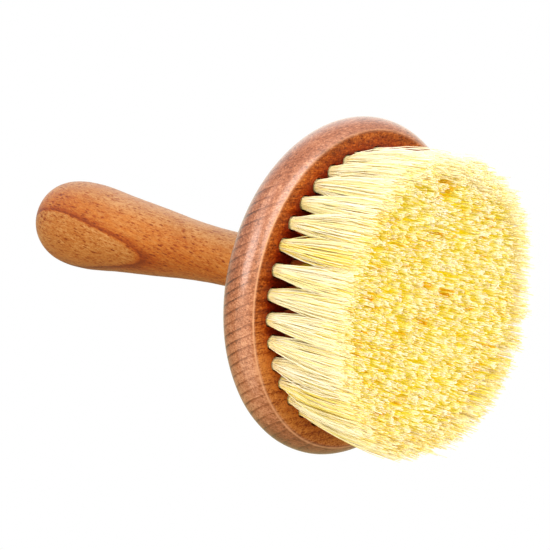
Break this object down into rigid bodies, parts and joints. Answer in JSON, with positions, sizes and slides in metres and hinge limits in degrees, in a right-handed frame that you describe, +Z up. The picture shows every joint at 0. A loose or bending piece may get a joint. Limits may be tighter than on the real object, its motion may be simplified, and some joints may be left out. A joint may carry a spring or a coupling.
{
  "type": "body dry brush",
  "caption": "Round wooden dry brush for the body: a drilled head full of pale bristle tufts, with an upright turned handle.",
  "frame": {"origin": "centre of the plane of the trimmed bristle tips, on the axis of the handle", "axes": "+Z up the handle, away from the bristle tips; the brush is round about Z, and +X and +Y only fix where the first tuft of the outer ring stands"},
  "size_m": [0.0918, 0.0918, 0.1566],
  "materials": {
    "head_wood": "satin",
    "handle_wood": "satin",
    "bristle_fibre": "matte",
    "anchor_wire": "satin"
  },
  "bodies": {
    "root": {"head_disc": "head_wood", "handle": "handle_wood", "tuft_ring_1": "bristle_fibre", "tuft_ring_2": "bristle_fibre", "tuft_ring_3": "bristle_fibre", "tuft_ring_4": "bristle_fibre", "tuft_ring_5": "bristle_fibre", "tuft_ring_6": "bristle_fibre", "tuft_centre": "bristle_fibre", "anchor_ring_1": "anchor_wire", "anchor_ring_2": "anchor_wire", "anchor_ring_3": "anchor_wire", "anchor_ring_4": "anchor_wire", "anchor_ring_5": "anchor_wire", "anchor_ring_6": "anchor_wire", "anchor_centre": "anchor_wire"}
  },
  "joints": []
}
